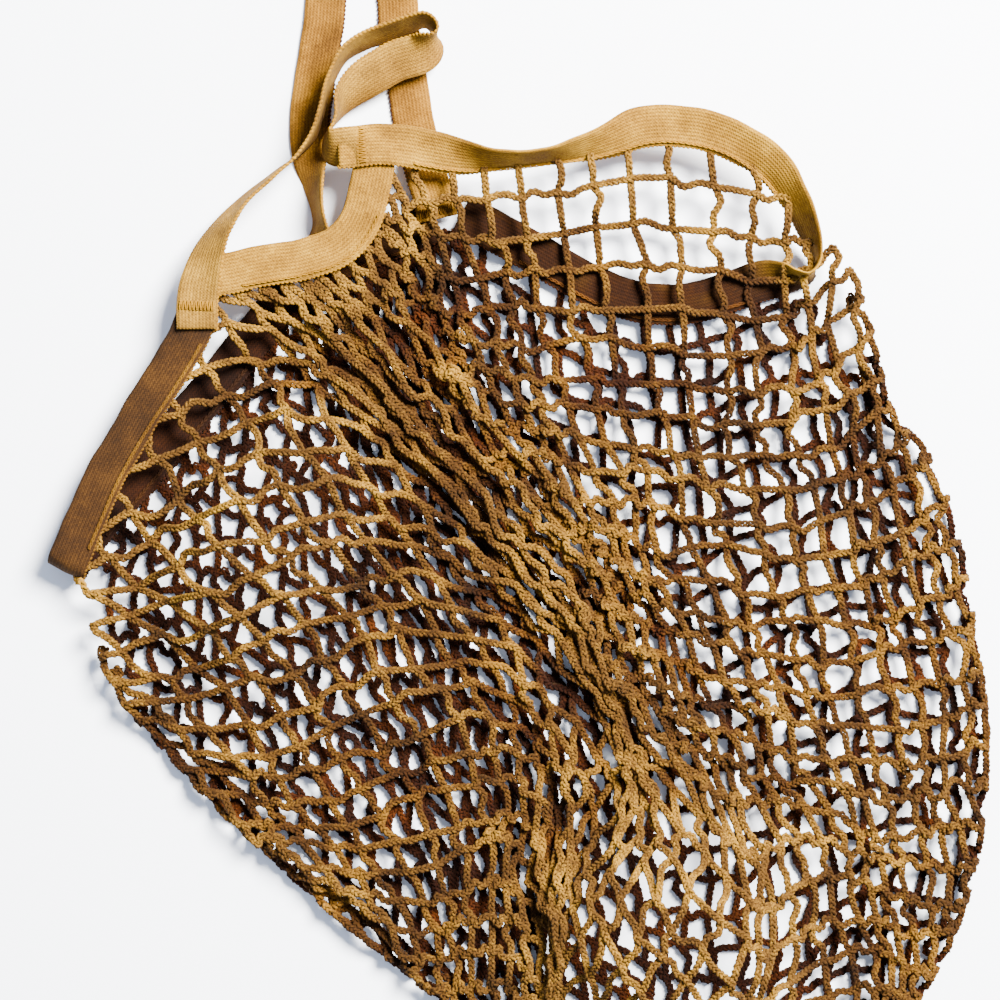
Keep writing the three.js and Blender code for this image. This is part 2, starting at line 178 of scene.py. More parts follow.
RIGHT_BAND = TapePath([
    (-54, 117.5, UPPER_TAPE_Z, 0, 1, 0),
    (-35, 118.5, UPPER_TAPE_Z, 0, 1, 0),
    (-17, 115.5, FRONT_TAPE_Z + 1, 0.1, 0.9, 0.5),
    (0, 113.5, FRONT_TAPE_Z + 1, 0, 0.35, 1),
    (16, 115, FRONT_TAPE_Z + 1, -0.1, 0.25, 1),
    (32, 119, FRONT_TAPE_Z + 0.5, -0.25, 0.6, 0.8),
    (48, 124.5, FRONT_TAPE_Z, -0.1, 1, 0.2),
    (64, 124.5, FRONT_TAPE_Z, 0.2, 1, 0.3),
    (79, 120, FRONT_TAPE_Z, 0.45, 0.9, 0.45),
    (91, 111.5, FRONT_TAPE_Z, 0.65, 0.6, 0.65),
    (99, 100.5, FRONT_TAPE_Z - 1, 0.5, 0.35, 0.85),
    (104, 89.5, FRONT_TAPE_Z - 2.5, 0.35, 0.15, 0.95),
    (106.5, 81.5, EDGE_Z, 0.1, 0, 1),
    (105, 76.5, EDGE_Z - 0.5, -0.05, 0.1, 1),
    (101, 75, EDGE_Z - 2, -0.2, 0.35, 0.85),
    (96, 75, BACK_TAPE_Z + 2.5, -0.35, 0.65, 0.55),
    (88, 74, BACK_TAPE_Z + 0.5, -0.4, 0.9, 0.1),
    (76, 70, BACK_TAPE_Z, -0.3, 0.94, 0),
    (58, 66, BACK_TAPE_Z, 0, 1, 0),
    (40, 69, BACK_TAPE_Z, 0.35, 0.94, 0),
    (20, 79, BACK_TAPE_Z, 0.5, 0.86, 0),
    (2, 89, BACK_TAPE_Z, 0.5, 0.86, 0),
    (-13, 97, BACK_TAPE_Z, 0.5, 0.86, 0),
])
FRONT_GATHER = TapePath([
    (-98, 74.5, FRONT_TAPE_Z, 0, 1, 0),
    (-80, 78, FRONT_TAPE_Z, -0.15, 1, 0),
    (-66, 80.5, FRONT_TAPE_Z, -0.2, 1, 0),
    (-54, 85, FRONT_TAPE_Z, -0.6, 0.8, 0),
    (-46.5, 94, FRONT_TAPE_Z, -0.94, 0.34, 0),
    (-43.5, 104, FRONT_TAPE_Z, -1, 0.15, 0),
    (-42, 113, FRONT_TAPE_Z, -1, 0.1, 0),
])
BACK_GATHER = TapePath([
    (-62, 79, BACK_TAPE_Z, -0.4, 0.92, 0),
    (-48, 84, BACK_TAPE_Z, -0.3, 0.95, 0),
    (-34, 89, BACK_TAPE_Z, -0.35, 0.94, 0),
    (-22.5, 94, BACK_TAPE_Z, -0.4, 0.92, 0),
])
FRONT_HANDLE = TapePath([
    (-101, 57, UPPER_TAPE_Z, 1, 0, 0),
    (-101, 67, UPPER_TAPE_Z, 1, 0, 0),
    (-98.5, 79, UPPER_TAPE_Z, 0.9, -0.3, 0.45),
    (-94, 90, EDGE_Z + 4, 0.5, -0.35, 0.8),
    (-87, 99.5, EDGE_Z + 1, 0.25, -0.25, 0.95),
    (-77, 108.5, EDGE_Z, 0.15, -0.2, 1),
    (-69, 115, EDGE_Z, 0.1, -0.1, 1),
    (-63.5, 122, EDGE_Z, 0, 0, 1),
    (-60.2, 130, EDGE_Z, 0, 0.05, 1),
    (-57, 141, EDGE_Z, 0, 0.15, 1),
    (-52, 150, EDGE_Z, 0, 0.2, 1),
    (-43, 155.5, EDGE_Z, -0.05, 0.25, 0.95),
    (-33, 159, EDGE_Z, -0.05, 0.25, 0.95),
    (-25, 161, EDGE_Z, -0.05, 0.2, 0.97),
    (-21.5, 156, EDGE_Z, 0, 0.55, 0.9),
    (-26, 150.5, EDGE_Z - 0.5, -0.15, 0.9, 0.4),
    (-35, 147.5, EDGE_Z - 1, -0.25, 0.92, 0.3),
    (-44, 142.5, EDGE_Z - 0.5, -0.45, 0.8, 0.4),
    (-51, 136, EDGE_Z, -0.4, 0.45, 0.8),
    (-55, 128.5, EDGE_Z, 0.05, 0.05, 1),
    (-58, 122.5, EDGE_Z + 1, 0.25, 0.15, 1),
    (-56.5, 117.8, EDGE_Z + 4, 0.2, 0.8, 0.7),
    (-47, 117.8, UPPER_TAPE_Z + 0.6, 0, 1, 0),
])
BACK_HANDLE = TapePath([
    (-60, 80, BACK_ROOT_Z, 1, 0, 0),
    (-61, 94, BACK_ROOT_Z + 2, 0.35, 0, 0.93),
    (-63, 108, TABLE_TAPE_Z + 4, 0.55, 0.1, 0.8),
    (-64.5, 122, TABLE_TAPE_Z, 1, 0, 0),
    (-63.5, 138, TABLE_TAPE_Z, 1, -0.1, 0),
    (-61, 155, TABLE_TAPE_Z, 1, -0.1, 0),
    (-59, 172, TABLE_TAPE_Z, 1, 0, 0),
    (-58.5, 184, TABLE_TAPE_Z + 1.6, 1, 0, 0.25),
    (-55, 195, TABLE_TAPE_Z + 3.2, 0.8, -0.2, 0.5),
    (-47, 200, TABLE_TAPE_Z + 4, 0, -0.85, 0.55),
    (-39, 195, TABLE_TAPE_Z + 3.2, -0.8, -0.2, 0.5),
    (-35.5, 184, TABLE_TAPE_Z + 1.6, -1, 0, 0.25),
    (-35, 172, TABLE_TAPE_Z, -1, 0, 0),
    (-33.5, 155, TABLE_TAPE_Z, -1, -0.1, 0),
    (-31, 138, TABLE_TAPE_Z, -1, -0.15, 0),
    (-28, 122, TABLE_TAPE_Z, -1, -0.2, 0),
    (-24, 108, BACK_ROOT_Z, -1, -0.3, 0),
    (-21, 95, BACK_ROOT_Z, -1, -0.2, 0),
])


# ---------------------------------------------------------------- nodes
def hex_color(text):
    """A colour given as sRGB hex, turned to the linear values that shaders use."""
    channels = [int(text[i:i + 2], 16) / 255 for i in (0, 2, 4)]
    linear = [c / 12.92 if c <= 0.04045 else ((c + 0.055) / 1.055) ** 2.4 for c in channels]
    return (*linear, 1.0)


def add_node(tree, kind, inputs=None, **settings):
    """Adds a node: settings are its own properties, inputs are values or sockets to link from."""
    node = tree.nodes.new(kind)
    for name, value in settings.items():
        setattr(node, name, value)
    for key, value in (inputs or {}).items():
        socket = node.inputs[key]
        if isinstance(value, bpy.types.NodeSocket):
            tree.links.new(value, socket)
        else:
            socket.default_value = value
    return node


def new_geometry_tree(name, sizes):
    """A Geometry Nodes tree with a geometry in and out, named sizes and a material."""
    tree = bpy.data.node_groups.new(name, "GeometryNodeTree")
    tree.interface.new_socket("Geometry", in_out="INPUT", socket_type="NodeSocketGeometry")
    for size, (kind, value) in sizes.items():
        socket = tree.interface.new_socket(size, in_out="INPUT", socket_type=kind)
        socket.default_value = value
    tree.interface.new_socket("Material", in_out="INPUT", socket_type="NodeSocketMaterial")
    tree.interface.new_socket("Geometry", in_out="OUTPUT", socket_type="NodeSocketGeometry")
    return tree


def finish_tree(tree, given, geometry):
    """Ends a tree with real geometry in its material."""
    real = add_node(tree, "GeometryNodeRealizeInstances", {0: geometry})
    shaded = add_node(tree, "GeometryNodeSetShadeSmooth", {0: real.outputs[0]})
    painted = add_node(
        tree, "GeometryNodeSetMaterial", {0: shaded.outputs[0], "Material": given.outputs["Material"]}
    )
    add_node(tree, "NodeGroupOutput", {0: painted.outputs[0]})


def braid_tree():
    """Three yarns that pass over each other along every line of the mesh that it is given."""
    tree = new_geometry_tree("braided cord", {
        "Yarn radius": ("NodeSocketFloat", STRAND_RADIUS * MM),
        "Half width": ("NodeSocketFloat", STRAND_HALF_WIDTH * MM),
        "Half height": ("NodeSocketFloat", STRAND_HALF_HEIGHT * MM),
        "Braid length": ("NodeSocketFloat", BRAID_LENGTH * MM),
        "Step": ("NodeSocketFloat", YARN_STEP * MM),
        "Roughness": ("NodeSocketFloat", YARN_STRAY * MM),
        "Sides": ("NodeSocketInt", 4),
    })
    given = add_node(tree, "NodeGroupInput")
    lines = add_node(tree, "GeometryNodeMeshToCurve", {0: given.outputs["Geometry"]})
    even = add_node(
        tree, "GeometryNodeResampleCurve",
        {"Curve": lines.outputs[0], "Length": given.outputs["Step"]}, mode="LENGTH",
    )
    tangent = add_node(tree, "GeometryNodeInputTangent").outputs[0]
    flat = add_node(
        tree, "ShaderNodeVectorMath", {0: tangent, 1: (0, 0, 1)}, operation="CROSS_PRODUCT"
    )
    sideways = add_node(tree, "ShaderNodeVectorMath", {0: flat.outputs[0]}, operation="NORMALIZE")
    upwards = add_node(
        tree, "ShaderNodeVectorMath", {0: sideways.outputs[0], 1: tangent}, operation="CROSS_PRODUCT"
    )
    run = add_node(tree, "GeometryNodeSplineParameter").outputs["Length"]
    braids = add_node(
        tree, "ShaderNodeMath", {0: run, 1: given.outputs["Braid length"]}, operation="DIVIDE"
    )
    turn = add_node(
        tree, "ShaderNodeMath", {0: braids.outputs[0], 1: 2 * math.pi}, operation="MULTIPLY"
    )
    profile = add_node(
        tree, "GeometryNodeCurvePrimitiveCircle",
        {"Resolution": given.outputs["Sides"], "Radius": given.outputs["Yarn radius"]},
    )
    place = add_node(tree, "GeometryNodeInputPosition")
    noise = add_node(
        tree, "ShaderNodeTexNoise",
        {"Vector": place.outputs[0], "Scale": KINKS_PER_METRE, "Detail": 1.0},
    )
    centred = add_node(
        tree, "ShaderNodeVectorMath", {0: noise.outputs["Color"], 1: (0.5, 0.5, 0.5)},
        operation="SUBTRACT",
    )
    stray = add_node(
        tree, "ShaderNodeVectorMath",
        {0: centred.outputs[0], "Scale": given.outputs["Roughness"]}, operation="SCALE",
    )
    yarns = add_node(tree, "GeometryNodeJoinGeometry")
    for yarn in range(3):
        phase = add_node(
            tree, "ShaderNodeMath", {0: turn.outputs[0], 1: yarn * 2 * math.pi / 3}, operation="ADD"
        )
        double = add_node(
            tree, "ShaderNodeMath", {0: phase.outputs[0], 1: 2.0}, operation="MULTIPLY"
        )
        moves = []
        for angle, size, way in ((phase, "Half width", sideways), (double, "Half height", upwards)):
            wave = add_node(tree, "ShaderNodeMath", {0: angle.outputs[0]}, operation="SINE")
            amount = add_node(
                tree, "ShaderNodeMath", {0: wave.outputs[0], 1: given.outputs[size]}, operation="MULTIPLY"
            )
            moves.append(add_node(
                tree, "ShaderNodeVectorMath",
                {0: way.outputs[0], "Scale": amount.outputs[0]}, operation="SCALE",
            ))
        offset = add_node(
            tree, "ShaderNodeVectorMath", {0: moves[0].outputs[0], 1: moves[1].outputs[0]}, operation="ADD"
        )
        braided = add_node(
            tree, "GeometryNodeSetPosition", {0: even.outputs[0], "Offset": offset.outputs[0]}
        )
        path = add_node(
            tree, "GeometryNodeSetPosition",
            {0: braided.outputs[0], "Offset": stray.outputs[0]},
        )
        tube = add_node(
            tree, "GeometryNodeCurveToMesh",
            {0: path.outputs[0], "Profile Curve": profile.outputs[0], "Fill Caps": True},
        )
        tree.links.new(tube.outputs[0], yarns.inputs[0])
    finish_tree(tree, given, yarns.outputs[0])
    return tree


def bead_tree():
    """A row of small leaning beads along every line of the mesh that it is given."""
    tree = new_geometry_tree("looped edge", {
        "Spacing": ("NodeSocketFloat", SELVEDGE_BEAD * MM),
        "Bead width": ("NodeSocketFloat", 0.55 * MM),
        "Lean": ("NodeSocketFloat", 0.55),
        "Seed": ("NodeSocketInt", 3),
    })
    given = add_node(tree, "NodeGroupInput")
    lines = add_node(tree, "GeometryNodeMeshToCurve", {0: given.outputs["Geometry"]})
    points = add_node(
        tree, "GeometryNodeCurveToPoints",
        {"Curve": lines.outputs[0], "Length": given.outputs["Spacing"]}, mode="LENGTH",
    )
    bead = add_node(
        tree, "GeometryNodeMeshIcoSphere", {"Radius": given.outputs["Bead width"], "Subdivisions": 2}
    )
    longer = add_node(tree, "GeometryNodeTransform", {0: bead.outputs[0], "Scale": (1.0, 0.85, 1.5)})
    jitter = add_node(
        tree, "FunctionNodeRandomValue",
        {2: -0.25, 3: 0.25, "Seed": given.outputs["Seed"]}, data_type="FLOAT",
    )
    lean = add_node(
        tree, "ShaderNodeMath", {0: given.outputs["Lean"], 1: jitter.outputs[1]}, operation="ADD"
    )
    twist = add_node(tree, "ShaderNodeCombineXYZ", {"Y": lean.outputs[0]})
    turned = add_node(
        tree, "FunctionNodeRotateRotation",
        {"Rotation": points.outputs["Rotation"],
         "Rotate By": add_node(tree, "FunctionNodeEulerToRotation", {0: twist.outputs[0]}).outputs[0]},
        rotation_space="LOCAL",
    )
    copies = add_node(
        tree, "GeometryNodeInstanceOnPoints",
        {"Points": points.outputs["Points"], "Instance": longer.outputs[0],
         "Rotation": turned.outputs[0]},
    )
    finish_tree(tree, given, copies.outputs[0])
    return tree


def lines_mesh(name, lines):
    """A mesh of open lines, given in millimetres, that a tree turns into cord or beads."""
    vertices = np.vstack(lines) * MM
    edges = []
    start = 0
    for line in lines:
        edges += [(i, i + 1) for i in range(start, start + len(line) - 1)]
        start += len(line)
    mesh = bpy.data.meshes.new(name)
    mesh.from_pydata([tuple(v) for v in vertices], edges, [])
    return mesh


def grown(name, lines, tree, material, sizes=None):
    """A plain mesh object, grown along lines by a Geometry Nodes tree."""
    host = bpy.data.objects.new(name, lines_mesh(name + "_lines", lines))
    bpy.context.scene.collection.objects.link(host)
    modifier = host.modifiers.new("grow", "NODES")
    modifier.node_group = tree
    given = {"Material": material, **(sizes or {})}
    for item in tree.interface.items_tree:
        if item.item_type == "SOCKET" and item.in_out == "INPUT" and item.name in given:
            modifier[item.identifier] = given[item.name]
    bpy.context.view_layer.update()
    graph = bpy.context.evaluated_depsgraph_get()
    mesh = bpy.data.meshes.new_from_object(host.evaluated_get(graph))
    mesh.name = name
    host.modifiers.clear()
    host.data = mesh
    return host


# ---------------------------------------------------------------- materials
FIBRES_PER_METRE = 1500.0     # fibre specks of about 0.7 mm
PATCHES_PER_METRE = 60.0      # uneven dye in patches of 10 to 20 mm
FULL_SHADE_BELOW = 3.8           # under this height the painted shade is full
NO_SHADE_ABOVE = 11.0
WEFT_PITCH = 0.95             # the weave is a little coarser than real tape, so that it shows
RIB_PITCH = 1.15


def fabric_material(name, dark, middle, light, painted_shade, roughness):
    """A cotton surface: three tones mixed by noise at fibre and at hand scale, with a faint sheen.

    The painted shade grows towards the table. It stands in for the shade between the bag's layers.
    """
    material = bpy.data.materials.new(name)
    material.use_nodes = True
    tree = material.node_tree
    shader = tree.nodes["Principled BSDF"]
    shader.inputs["Roughness"].default_value = roughness
    shader.inputs["Specular IOR Level"].default_value = 0.08
    shader.inputs["Sheen Weight"].default_value = 0.03
    shader.inputs["Sheen Roughness"].default_value = 0.4
    shader.inputs["Sheen Tint"].default_value = hex_color("E8B870")
    place = add_node(tree, "ShaderNodeTexCoord").outputs["Object"]
    fibre = add_node(
        tree, "ShaderNodeTexNoise",
        {"Vector": place, "Scale": FIBRES_PER_METRE, "Detail": 4.0, "Roughness": 0.65},
    )
    patch = add_node(
        tree, "ShaderNodeTexNoise",
        {"Vector": place, "Scale": PATCHES_PER_METRE, "Detail": 4.0, "Roughness": 0.6},
    )
    tone = add_node(
        tree, "ShaderNodeMix", {"Factor": 0.55, 2: fibre.outputs["Fac"], 3: patch.outputs["Fac"]},
        data_type="FLOAT",
    )
    ramp = add_node(tree, "ShaderNodeValToRGB", {"Fac": tone.outputs[0]})
    ramp.color_ramp.elements[0].position = 0.36
    ramp.color_ramp.elements[0].color = hex_color(dark)
    ramp.color_ramp.elements[1].position = 0.66
    ramp.color_ramp.elements[1].color = hex_color(light)
    centre = ramp.color_ramp.elements.new(0.5)
    centre.color = hex_color(middle)
    # Painted shade: the colour is multiplied darker the nearer a surface lies to the table.
    parts = add_node(tree, "ShaderNodeSeparateXYZ", {0: place})
    unshaded_share = add_node(
        tree, "ShaderNodeMapRange",
        {"Value": parts.outputs["Z"], "From Min": FULL_SHADE_BELOW * MM, "From Max": NO_SHADE_ABOVE * MM},
    )
    tint = add_node(
        tree, "ShaderNodeMix",
        {"Factor": unshaded_share.outputs["Result"], 6: hex_color(painted_shade), 7: hex_color("FFFFFF")},
        data_type="RGBA",
    )
    toned = add_node(
        tree, "ShaderNodeMix",
        {"Factor": 1.0, 6: ramp.outputs["Color"], 7: tint.outputs[2]},
        data_type="RGBA", blend_type="MULTIPLY",
    )
    bump = add_node(
        tree, "ShaderNodeBump",
        {"Strength": 0.5, "Distance": 0.12 * MM, "Height": fibre.outputs["Fac"]},
    )
    tree.links.new(toned.outputs[2], shader.inputs["Base Color"])
    tree.links.new(bump.outputs["Normal"], shader.inputs["Normal"])
    return material


def net_yarn_material():
    """Dyed cotton yarn, soft and matt, with specks of light and dark fibre."""
    # 7C5430 is the painted shade that the yarn takes on near the table.
    return fabric_material("ochre cotton net yarn", "1C0E03", "442C0C", "8A651C", "7C5430", 0.95)


def thread_material(name, dark, middle, light):
    """Dyed sewing cotton, close in tone to the tape under it and a little smoother."""
    # 6A4820 is the painted shade that the thread takes on near the table.
    return fabric_material(name, dark, middle, light, "6A4820", 0.8)


def tape_material(name, dark, middle, light, painted_shade):
    """Woven cotton tape: lengthwise ribs crossed by a fine weave, with painted shade in the hollows of the
    weave.
    """
    material = fabric_material(name, dark, middle, light, painted_shade, 0.95)
    tree = material.node_tree
    shader = tree.nodes["Principled BSDF"]
    uv = add_node(tree, "ShaderNodeUVMap", uv_map="cloth").outputs[0]
    parts = add_node(tree, "ShaderNodeSeparateXYZ", {0: uv})
    wobble = add_node(tree, "ShaderNodeTexNoise", {"Vector": uv, "Scale": 300.0, "Detail": 2.0})
    waves = []
    for axis, pitch in (("X", WEFT_PITCH), ("Y", RIB_PITCH)):
        count = add_node(
            tree, "ShaderNodeMath",
            {0: parts.outputs[axis], 1: 2 * math.pi / (pitch * MM)}, operation="MULTIPLY",
        )
        bent = add_node(
            tree, "ShaderNodeMath",
            {0: wobble.outputs["Fac"], 1: 1.6, 2: count.outputs[0]}, operation="MULTIPLY_ADD",
        )
        waves.append(add_node(tree, "ShaderNodeMath", {0: bent.outputs[0]}, operation="SINE"))
    crowns = add_node(
        tree, "ShaderNodeMath",
        {0: waves[0].outputs[0], 1: waves[1].outputs[0]}, operation="MULTIPLY",
    )
    weave = add_node(
        tree, "ShaderNodeMath", {0: crowns.outputs[0], 1: 0.2, 2: 0.55}, operation="MULTIPLY_ADD"
    )
    height = add_node(
        tree, "ShaderNodeMath", {0: waves[1].outputs[0], 1: 0.2, 2: weave.outputs[0]},
        operation="MULTIPLY_ADD",
    ).outputs[0]
    # Painted shade: the colour darkens where the weave's height is low.
    groove_shade = add_node(
        tree, "ShaderNodeMix",
        {"Factor": height, 6: hex_color("9C9494"), 7: hex_color("FFFFFF")}, data_type="RGBA",
    )
    shade = add_node(
        tree, "ShaderNodeMix",
        {"Factor": 1.0, 6: groove_shade.outputs[2], 7: shader.inputs["Base Color"].links[0].from_socket},
        data_type="RGBA", blend_type="MULTIPLY",
    )
    old_bump = shader.inputs["Normal"].links[0].from_node
    bump = add_node(
        tree, "ShaderNodeBump",
        {"Strength": 0.7, "Distance": 0.25 * MM, "Height": height, "Normal": old_bump.outputs[0]},
    )
    tree.links.new(shade.outputs[2], shader.inputs["Base Color"])
    tree.links.new(bump.outputs["Normal"], shader.inputs["Normal"])
    return material


NET_YARN = net_yarn_material()
THREAD = thread_material("ochre cotton sewing thread", "523406", "755008", "946A10")
# Painted shade: the left band's seams get the sewing thread darkened, to go with its shaded tape.
SHADED_THREAD = thread_material("ochre cotton sewing thread in painted shade", "2E1A02", "462C05", "5E3F0A")
# For each tape, the last colour is the painted shade that it takes on near the table.
BAND_CLOTH = tape_material(
    "woven ochre cotton band tape", "5A3C0E", "865F14", "B48824", "44321E"
)
# Painted shade: the left mouth band's tape is the band tape darkened all over, for the shade it lies in.
SHADED_BAND_CLOTH = tape_material(
    "woven ochre cotton band tape in painted shade", "1E1208", "301D0A", "482E10", "A08060"
)
HANDLE_CLOTH = tape_material(
    "woven ochre cotton handle tape", "523810", "7E5B18", "AC8226", "DCCCB8"
)
BRAID = braid_tree()
BEADS = bead_tree()


# ---------------------------------------------------------------- tapes
TAPE_STEP = 1.0               # between two rings, along the tape
TAPE_STRIPS = 10              # across it
EDGE_INSET = 0.5              # where the flat of the tape ends
EDGE_BULGE = 0.4              # how far its rounded edge goes beyond that
FACE_INSET = 0.1              # of each face under half the thickness
WAVER = 0.9                   # height of the slow wave along a tape
WAVER_LENGTHS = (47, 23, 11)
WAVER_SHARES = (0.5, 0.35, 0.15)
STILL_END = 12.0              # over this length from each end the wave grows
SIDE_SHARE = 0.4              # of the wave that moves the tape sideways
CUP_SHARE = 0.35              # of the wave that cups it
LOOP_INSET = 0.45             # from the tape's edge to the middle of its row of loops
LOOP_SHARE = 0.3              # of the wave that the loops drop by
LOWEST_TAPE = 0.05
LOWEST_LOOP = 0.7


def tape_profile():
    """The tape's section: across and normal distances, once round, with rounded edges."""
    half = TAPE_WIDTH / 2 - EDGE_INSET
    across = np.linspace(-half, half, TAPE_STRIPS + 1)
    top = np.column_stack([across, np.full_like(across, TAPE_THICKNESS / 2 - FACE_INSET)])
    bottom = np.column_stack([across[::-1], np.full_like(across, -TAPE_THICKNESS / 2 + FACE_INSET)])
    return np.vstack([top, [(half + EDGE_BULGE, 0)], bottom, [(-half - EDGE_BULGE, 0)]])


def cloth_waver(distance, seed):
    """A slow wave along a tape, so that it doesn't lie like a ruler. It dies out at both ends."""
    phases = np.random.default_rng(seed).uniform(0, 2 * math.pi, len(WAVER_LENGTHS))
    wave = sum(
        np.sin(distance * 2 * math.pi / length + phase) * share
        for length, phase, share in zip(WAVER_LENGTHS, phases, WAVER_SHARES)
    )
    ends = smooth(distance / STILL_END) * smooth((distance[-1] - distance) / STILL_END)
    return WAVER * wave * ends


def make_tape(name, path, cloth, thread, looped_side, seed):
    """A tape along its path, with its weave's map, and the row of loops along one of its edges."""
    places, distance = path.even_places(TAPE_STEP)
    at, along, across, normal = path.frame(places)
    profile = tape_profile()
    wave = cloth_waver(distance, seed)
    cup = CUP_SHARE * np.cos(profile[:, 0] / (TAPE_WIDTH / 2) * math.pi)
    at = at + across * wave[:, None] * SIDE_SHARE
    rings = (
        at[:, None, :]
        + across[:, None, :] * profile[None, :, 0, None]
        + normal[:, None, :] * (profile[None, :, 1] + cup[None, :] * wave[:, None])[:, :, None]
    )
    rings[..., 2] = np.maximum(rings[..., 2], LOWEST_TAPE)
    count, around = rings.shape[:2]
    faces = []
    maps = []
    for i in range(count - 1):
        for j in range(around):
            k = (j + 1) % around
            faces.append((i * around + j, i * around + k, (i + 1) * around + k, (i + 1) * around + j))
            for row, column in ((i, j), (i, k), (i + 1, k), (i + 1, j)):
                maps.append((distance[row] * MM, profile[column, 0] * MM))
    faces.append(tuple(reversed(range(around))))
    faces.append(tuple(range((count - 1) * around, count * around)))
    maps += [(0.0, profile[j, 0] * MM) for j in reversed(range(around))]
    maps += [(distance[-1] * MM, profile[j, 0] * MM) for j in range(around)]
    mesh = bpy.data.meshes.new(name)
    mesh.from_pydata([tuple(p) for p in rings.reshape(-1, 3) * MM], [], faces)
    uv = mesh.uv_layers.new(name="cloth")
    uv.data.foreach_set("uv", np.array(maps, float).ravel())
    mesh.polygons.foreach_set("use_smooth", [True] * len(mesh.polygons))
    mesh.materials.append(cloth)
    fix_normals(mesh)
    tape = bpy.data.objects.new(name, mesh)
    bpy.context.scene.collection.objects.link(tape)
    reach = looped_side * (TAPE_WIDTH / 2 - LOOP_INSET)
    edge = at + across * reach - normal * wave[:, None] * LOOP_SHARE
    edge[:, 2] = np.maximum(edge[:, 2], LOWEST_LOOP)
    beads = grown(name + "_edge", [edge], BEADS, thread)
    return tape, beads, distance[-1]


def fix_normals(mesh):
    """Turns a closed mesh's faces outwards."""
    shell = bmesh.new()
    shell.from_mesh(mesh)
    bmesh.ops.recalc_face_normals(shell, faces=shell.faces)
    shell.to_mesh(mesh)
    shell.free()


# ---------------------------------------------------------------- net
# Each layer of net is a square lattice of knots (p, q). p counts columns along the rim, q counts
# cords down from the right mouth. Some knots have listed places in plan, and a smooth map
# through them places all the others. The gathered rim cuts the lattice cornerwise, so the net
# hangs from it in closed diamonds, and from the right mouth in open squares.
FRONT_PLACES = {
    # the rim along the right mouth band, then along the gather, then along the left mouth band
    (0, 0): (-38, 112), (2, 0): (-17, 114), (4, 0): (6, 113), (6, 0): (30, 119), (8, 0): (55, 123),
    (10, 0): (86, 114), (11, 1): (97, 101), (12, 2): (104, 86),
    (-2, 2): (-38, 96), (-4, 4): (-45, 84), (-6, 6): (-56, 77), (-8, 8): (-67, 75),
    (-10, 10): (-80, 73), (-12, 12): (-97, 69),
    (-13, 13): (-104, 55), (-14, 14): (-113, 38), (-15, 15): (-121, 23), (-16, 16): (-130, 7),
    (-17, 17): (-138, -11),
    # the column that comes from the corner between band and gather
    (0, 4): (-20, 66), (0, 9): (5, 17), (0, 13): (34, -26), (0, 17): (48, -68),
    # the lower swelling, where the closed diamonds open
    (-2, 21): (51, -101), (0, 23): (58, -138), (2, 25): (62, -174), (4, 27): (66, -208),
    (3, 18): (68, -86), (2, 21): (84, -131), (4, 23): (86, -166),
    (-2, 25): (33, -143), (-3, 27): (17, -160), (0, 27): (34, -186),
    # the columns under the right mouth, down to the right outline
    (6, 4): (36, 65), (6, 9): (48, 8), (6, 13): (66, -38), (6, 17): (84, -82), (6, 21): (104, -126),
    (6, 26): (112, -186),
    (11, 5): (98, 50), (11, 9): (104, 4), (11, 14): (120, -54), (11, 19): (132, -112),
    (11, 23): (141, -158),
    (13, 3): (112, 85), (15, 5): (128, 72), (17, 7): (141, 56), (13, 5): (112, 60), (14, 9): (129, 15),
    (15, 13): (149, -32), (16, 17): (164, -82), (14, 20): (156, -122), (10, 26): (128, -190),
    # the columns that hang from the gather
    (-6, 10): (-34, 37), (-6, 15): (-4, -10), (-6, 19): (24, -44), (-6, 23): (42, -86),
    (-6, 28): (18, -138), (-6, 33): (24, -196),
    (-12, 16): (-72, 30), (-12, 21): (-36, -26), (-12, 25): (-10, -62), (-12, 29): (3, -106),
    (-12, 33): (3, -152), (-12, 38): (10, -206),
    # the columns under the left mouth, and the left outline
    (-17, 21): (-98, -44), (-17, 25): (-70, -82), (-17, 29): (-46, -118), (-17, 33): (-28, -156),
    (-18, 19): (-138, -31), (-20, 22): (-127, -62), (-21, 25): (-112, -83), (-21, 29): (-82, -113),
    (-20, 33): (-52, -140),
}
BACK_PLACES = {
    (0, 0): (-14, 94), (2, 0): (2, 86), (4, 0): (19, 76), (6, 0): (38, 67), (8, 0): (58, 63),
    (10, 0): (77, 68), (12, 0): (94, 78),
    (-2, 2): (-24, 90), (-4, 4): (-31, 87), (-6, 6): (-38, 84), (-8, 8): (-45, 82),
    (-10, 10): (-52, 79), (-12, 12): (-60, 74),
    (-14, 14): (-76, 58), (-16, 16): (-91, 41), (-18, 18): (-106, 23), (-20, 20): (-120, 6),
    (-22, 22): (-135, -11),
    (0, 5): (-8, 38), (0, 10): (4, -20), (0, 15): (14, -80), (0, 20): (20, -138), (0, 25): (24, -196),
    (8, 5): (66, 4), (8, 10): (74, -56), (8, 15): (80, -116), (8, 20): (84, -176),
    (-6, 10): (-36, 40), (-6, 15): (-30, -18), (-6, 20): (-22, -76), (-6, 25): (-16, -134),
    (-12, 17): (-66, 18), (-12, 22): (-66, -40), (-12, 27): (-60, -96),
    (-18, 22): (-110, -20), (-18, 28): (-108, -86),
    (12, 5): (106, 20), (12, 10): (118, -38), (12, 15): (124, -98), (12, 20): (122, -158),
    (16, 4): (132, 25), (16, 8): (150, -22), (16, 12): (163, -66), (16, 17): (164, -126),
    (16, 20): (152, -158),
}
FRONT_RIGHT_COLUMN = 10       # the last column that starts on the right mouth band
BACK_RIGHT_COLUMN = 12
